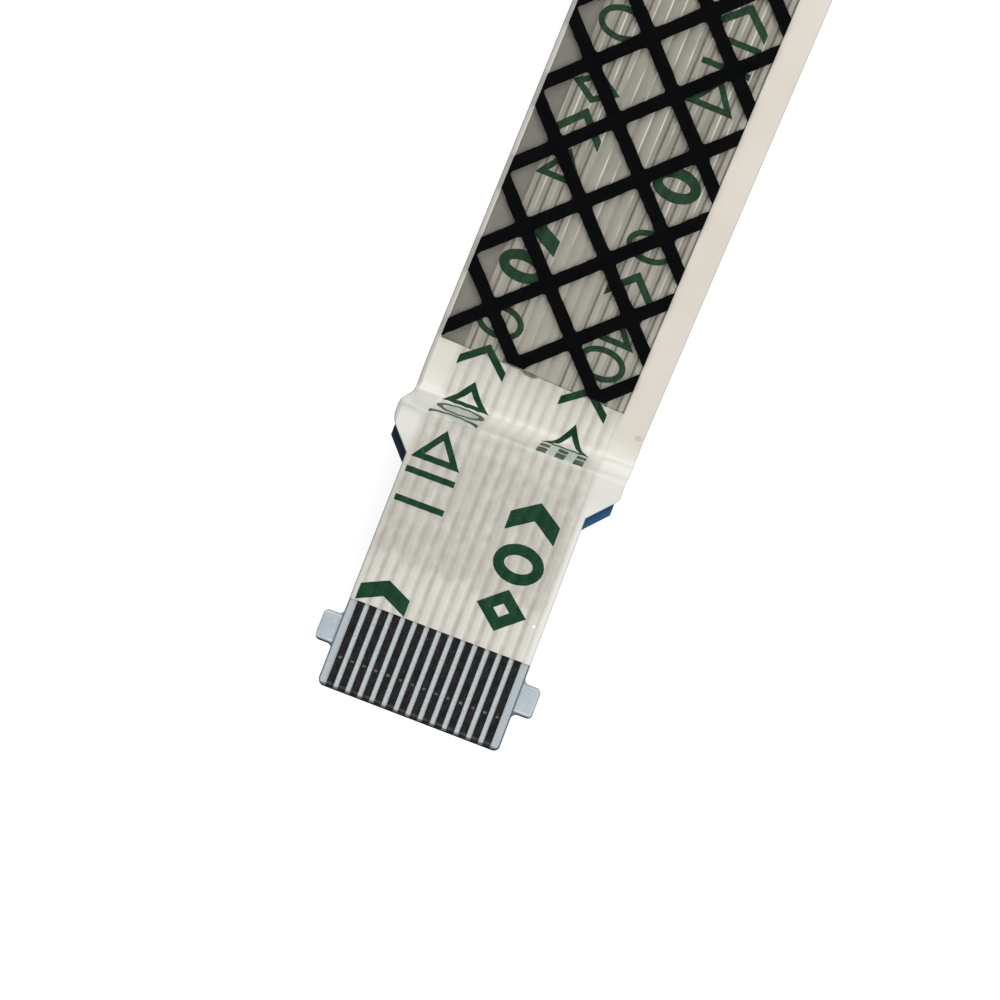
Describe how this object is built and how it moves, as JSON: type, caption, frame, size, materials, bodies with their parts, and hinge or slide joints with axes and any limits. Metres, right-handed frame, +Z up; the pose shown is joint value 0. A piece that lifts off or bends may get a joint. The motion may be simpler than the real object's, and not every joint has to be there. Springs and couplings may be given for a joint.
{
  "type": "flat flex cable",
  "caption": "Flat flexible cable with bare contact tongues, locking ears, a formed step and a printed liner over its adhesive run.",
  "frame": {"origin": "under the middle of the cable, on the plane that the wide run lies on", "axes": "+X along the cable from the raised, stepped end to the flat end, +Y across it, +Z up from the plane it lies on"},
  "size_m": [0.0775, 0.0098, 0.0058],
  "materials": {
    "clear_film": "smooth translucent polyester film",
    "cover_film": "soft-gloss translucent film, ribbed over the conductors",
    "tinned_copper": "bright tin plating on flat copper",
    "pale_carrier": "pale milky film",
    "blue_backing": "satin blue film",
    "blue_support": "satin blue film",
    "adhesive": "clear acrylic adhesive",
    "liner": "smooth translucent film",
    "green_ink": "printed green ink",
    "black_ink": "printed black ink"
  },
  "bodies": {
    "root": {"base_film": "clear_film", "cover_film": "cover_film", "conductor_01": "tinned_copper", "conductor_02": "tinned_copper", "conductor_03": "tinned_copper", "conductor_04": "tinned_copper", "conductor_05": "tinned_copper", "conductor_06": "tinned_copper", "conductor_07": "tinned_copper", "conductor_08": "tinned_copper", "conductor_09": "tinned_copper", "conductor_10": "tinned_copper", "conductor_11": "tinned_copper", "conductor_12": "tinned_copper", "conductor_13": "tinned_copper", "conductor_14": "tinned_copper", "ear_carrier": "pale_carrier", "blue_backing": "blue_backing", "far_support_film": "blue_support", "adhesive_layer": "adhesive", "release_liner": "liner", "liner_lattice": "black_ink"}
  },
  "joints": []
}
